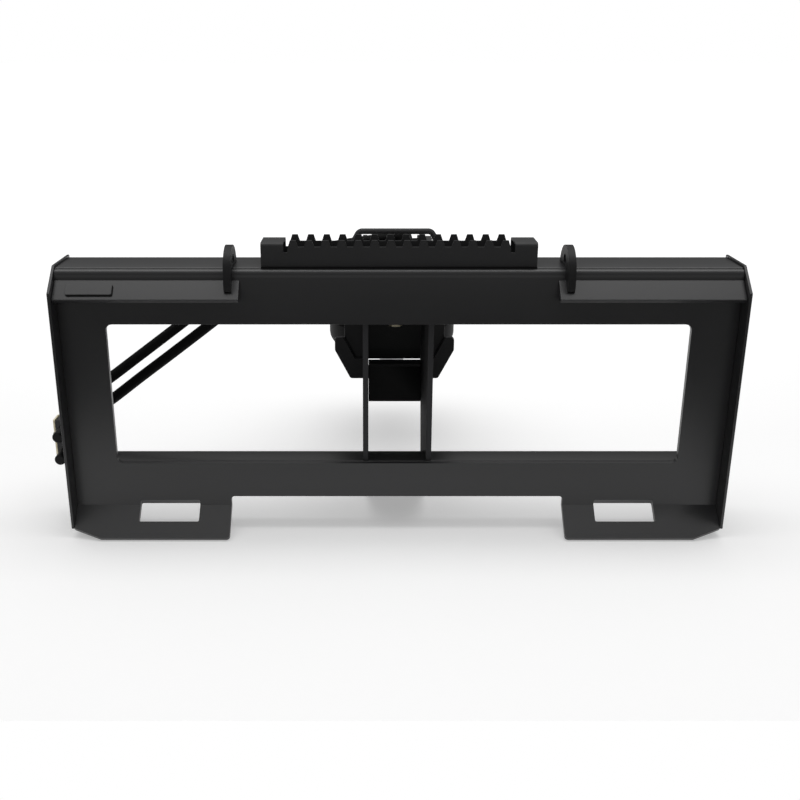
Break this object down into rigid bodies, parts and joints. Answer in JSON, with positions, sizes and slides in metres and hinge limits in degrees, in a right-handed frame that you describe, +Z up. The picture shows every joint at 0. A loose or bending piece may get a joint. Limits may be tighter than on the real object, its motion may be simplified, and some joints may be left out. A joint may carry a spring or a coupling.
{
  "type": "earth auger drive",
  "caption": "Skid steer auger frame: windowed quick-attach plate, serrated step, short boom with hoses, and a planetary hydraulic drive hung on a hinge pin with a hexagon output shaft.",
  "frame": {"origin": "on the floor at the middle of the front foot's sole, on the frame's centre plane", "axes": "+X along the frame to the picture's right, +Y from the machine towards the auger, +Z up"},
  "size_m": [1.1924, 0.6717, 0.5175],
  "materials": {
    "black_powder_coat": "satin black powder coat",
    "gearbox_paint": "gloss black paint",
    "zinc_plate": "clear zinc plate",
    "yellow_zinc": "yellow zinc plate",
    "hose_rubber": "fabric-wrapped black rubber",
    "black_plastic": "black moulded plastic",
    "grey_plastic": "grey moulded plastic",
    "machined_steel": "machined",
    "gear_steel": "machined and oiled",
    "motor_cast_paint": "black paint on a casting",
    "seal_rubber": "moulded rubber"
  },
  "bodies": {
    "frame": {"main_plate": "black_powder_coat", "top_rail": "black_powder_coat", "lower_rail": "black_powder_coat", "side_plate_left": "black_powder_coat", "side_plate_right": "black_powder_coat", "upper_lip_left": "black_powder_coat", "upper_lip_right": "black_powder_coat", "identity_plate": "black_powder_coat", "step_plank": "black_powder_coat", "lifting_lug_left": "black_powder_coat", "lifting_lug_right": "black_powder_coat", "boom_cheek_left": "black_powder_coat", "boom_cheek_right": "black_powder_coat", "stand_foot": "black_powder_coat", "boom_web": "black_powder_coat", "tie_plate": "black_powder_coat", "tie_nut": "yellow_zinc", "tie_bolt": "yellow_zinc", "cradle_plate": "black_powder_coat", "boom_face_plate": "black_powder_coat", "clevis_arm_left": "black_powder_coat", "clevis_arm_right": "black_powder_coat", "hinge_pin": "zinc_plate", "pin_collar": "zinc_plate", "collar_bolt": "zinc_plate", "hose_guard_loop": "black_powder_coat", "hose_upper": "hose_rubber", "hose_lower": "hose_rubber", "clamp_weld_plate": "black_powder_coat", "clamp_half_inner": "grey_plastic", "clamp_half_outer": "grey_plastic", "clamp_cover_plate": "yellow_zinc", "clamp_bolt": "zinc_plate", "hose_nipple_upper": "zinc_plate", "hose_nipple_lower": "zinc_plate", "hose_cap_upper": "black_plastic", "hose_cap_lower": "black_plastic"},
    "drive": {"hood_tube": "gearbox_paint", "hood_cheek_left": "gearbox_paint", "hood_cheek_right": "gearbox_paint", "gearbox_housing": "gearbox_paint", "gearbox_cover": "gearbox_paint", "oil_plug": "yellow_zinc", "output_bearing": "machined_steel", "shaft_seal": "seal_rubber", "ring_gear": "gear_steel", "motor_body": "motor_cast_paint", "motor_ring": "machined_steel", "motor_end_cap": "motor_cast_paint", "port_elbow_left": "zinc_plate", "port_elbow_right": "zinc_plate", "hose_ferrule_left": "zinc_plate", "hose_ferrule_right": "zinc_plate"},
    "sun": {"sun_shaft": "gear_steel"},
    "carrier": {"output_shaft": "machined_steel", "planet_carrier": "machined_steel"},
    "planet_1": {"planet_gear_1": "gear_steel"},
    "planet_2": {"planet_gear_2": "gear_steel"},
    "planet_3": {"planet_gear_3": "gear_steel"}
  },
  "joints": [
    {"name": "drive_swing", "type": "hinge", "parent": "frame", "child": "drive", "pos_m": [0, 0.272, 0.408], "axis": [1, 0, 0], "range_deg": [-25, 40], "deforming": ["hose_upper", "hose_lower"]},
    {"name": "output_spin", "type": "hinge", "parent": "drive", "child": "carrier", "pos_m": [0, 0.272, 0.224], "axis": [0, 0, 1], "continuous": true},
    {"name": "sun_spin", "type": "hinge", "parent": "drive", "child": "sun", "pos_m": [0, 0.272, 0.2395], "axis": [0, 0, 1], "continuous": true},
    {"name": "planet_1_spin", "type": "hinge", "parent": "carrier", "child": "planet_1", "pos_m": [0.0675, 0.272, 0.2395], "axis": [0, 0, 1], "continuous": true},
    {"name": "planet_2_spin", "type": "hinge", "parent": "carrier", "child": "planet_2", "pos_m": [-0.03375, 0.33046, 0.2395], "axis": [0, 0, 1], "continuous": true},
    {"name": "planet_3_spin", "type": "hinge", "parent": "carrier", "child": "planet_3", "pos_m": [-0.03375, 0.21354, 0.2395], "axis": [0, 0, 1], "continuous": true}
  ],
  "couplings": [
    {"joint": "sun_spin", "follows": "output_spin", "ratio": 5},
    {"joint": "planet_1_spin", "follows": "output_spin", "ratio": -2.6667},
    {"joint": "planet_2_spin", "follows": "output_spin", "ratio": -2.6667},
    {"joint": "planet_3_spin", "follows": "output_spin", "ratio": -2.6667}
  ]
}
